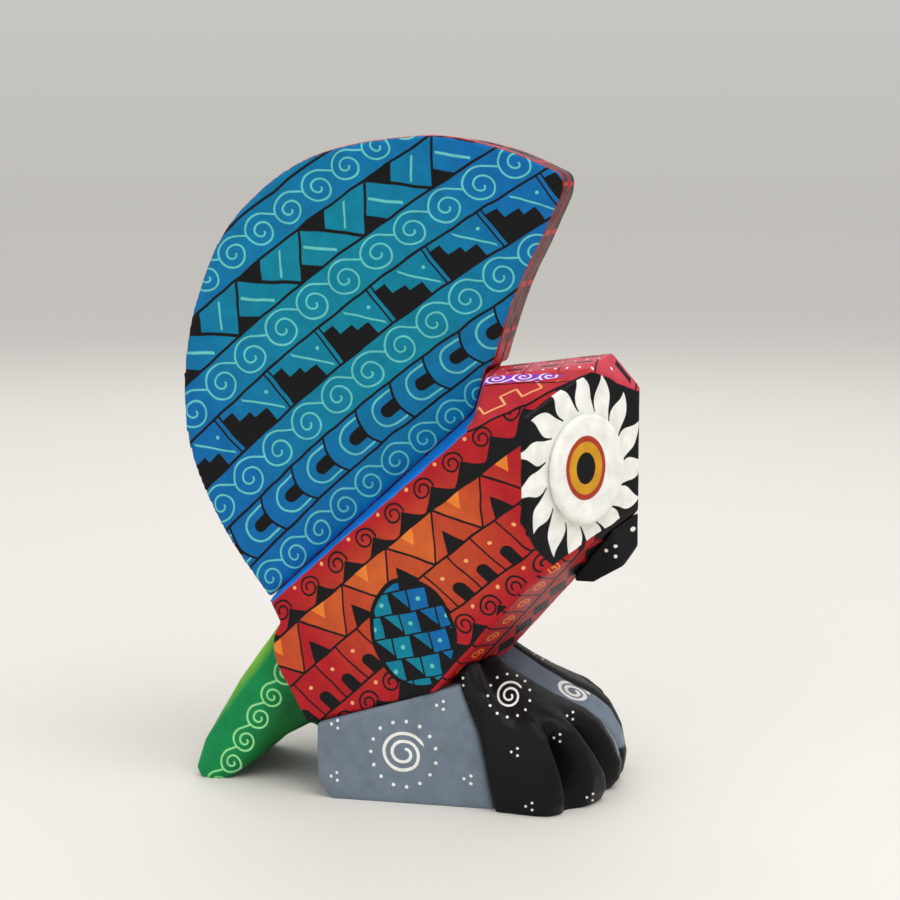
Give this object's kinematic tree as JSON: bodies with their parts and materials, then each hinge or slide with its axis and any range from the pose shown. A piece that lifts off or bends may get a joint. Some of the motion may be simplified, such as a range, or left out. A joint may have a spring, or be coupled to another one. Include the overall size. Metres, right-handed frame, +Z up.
{
  "type": "carved owl figure",
  "caption": "Small carved and painted wooden owl standing on two clawed feet and its tail, with raised flaring wings, large disc eyes and a hooked beak.",
  "frame": {"origin": "centre of the footprint's bounding rectangle, on the surface the owl stands on", "axes": "+Z up, the owl faces -Y, +X is the owl's left side"},
  "size_m": [0.05, 0.085, 0.1243],
  "materials": {
    "body": "red, orange and black painted scrolls over carved wood, satin varnish",
    "wing": "blue and teal painted bands with black frets and pale scrolls, satin varnish",
    "tail": "green paint shading to lime, pale scrolls, satin varnish",
    "haunch": "grey paint with white spirals and dots, satin varnish",
    "foot": "black paint with white spirals and dots, satin varnish",
    "beak": "black paint with white dots, satin varnish",
    "eye": "white paint with a painted iris, satin varnish",
    "dowel": "bare turned hardwood"
  },
  "bodies": {
    "root": {"body": "body", "tail": "tail", "beak": "beak", "right_wing": "wing", "right_haunch": "haunch", "right_foot": "foot", "right_eye": "eye", "left_wing": "wing", "left_haunch": "haunch", "left_foot": "foot", "left_eye": "eye", "right_wing_dowel_rear": "dowel", "right_wing_dowel_front": "dowel", "right_tail_dowel": "dowel", "right_haunch_dowel_rear": "dowel", "right_haunch_dowel_front": "dowel", "right_foot_dowel": "dowel", "left_wing_dowel_rear": "dowel", "left_wing_dowel_front": "dowel", "left_tail_dowel": "dowel", "left_haunch_dowel_rear": "dowel", "left_haunch_dowel_front": "dowel", "left_foot_dowel": "dowel", "beak_dowel": "dowel"}
  },
  "joints": []
}
